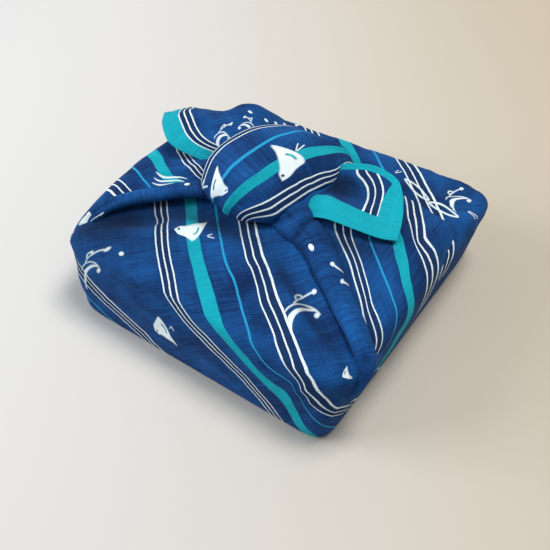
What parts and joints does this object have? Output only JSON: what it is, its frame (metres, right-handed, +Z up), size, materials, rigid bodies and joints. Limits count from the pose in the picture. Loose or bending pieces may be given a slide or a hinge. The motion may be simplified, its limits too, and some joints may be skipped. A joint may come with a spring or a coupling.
{
  "type": "furoshiki wrap",
  "caption": "Flat box-shaped parcel wrapped in one striped cotton cloth, with its ends tied in a broad knot on top and two free tails.",
  "frame": {"origin": "on the surface it stands on, under the middle of the parcel, at the resting face", "axes": "+X along the parcel's front edge, +Y from its front to its back, +Z up through the knot"},
  "size_m": [0.2058, 0.1899, 0.08],
  "materials": {
    "cloth": "indigo cotton with slubs, printed with pale and teal stripes, matte"
  },
  "bodies": {
    "root": {"furoshiki_cloth": "cloth"}
  },
  "joints": []
}
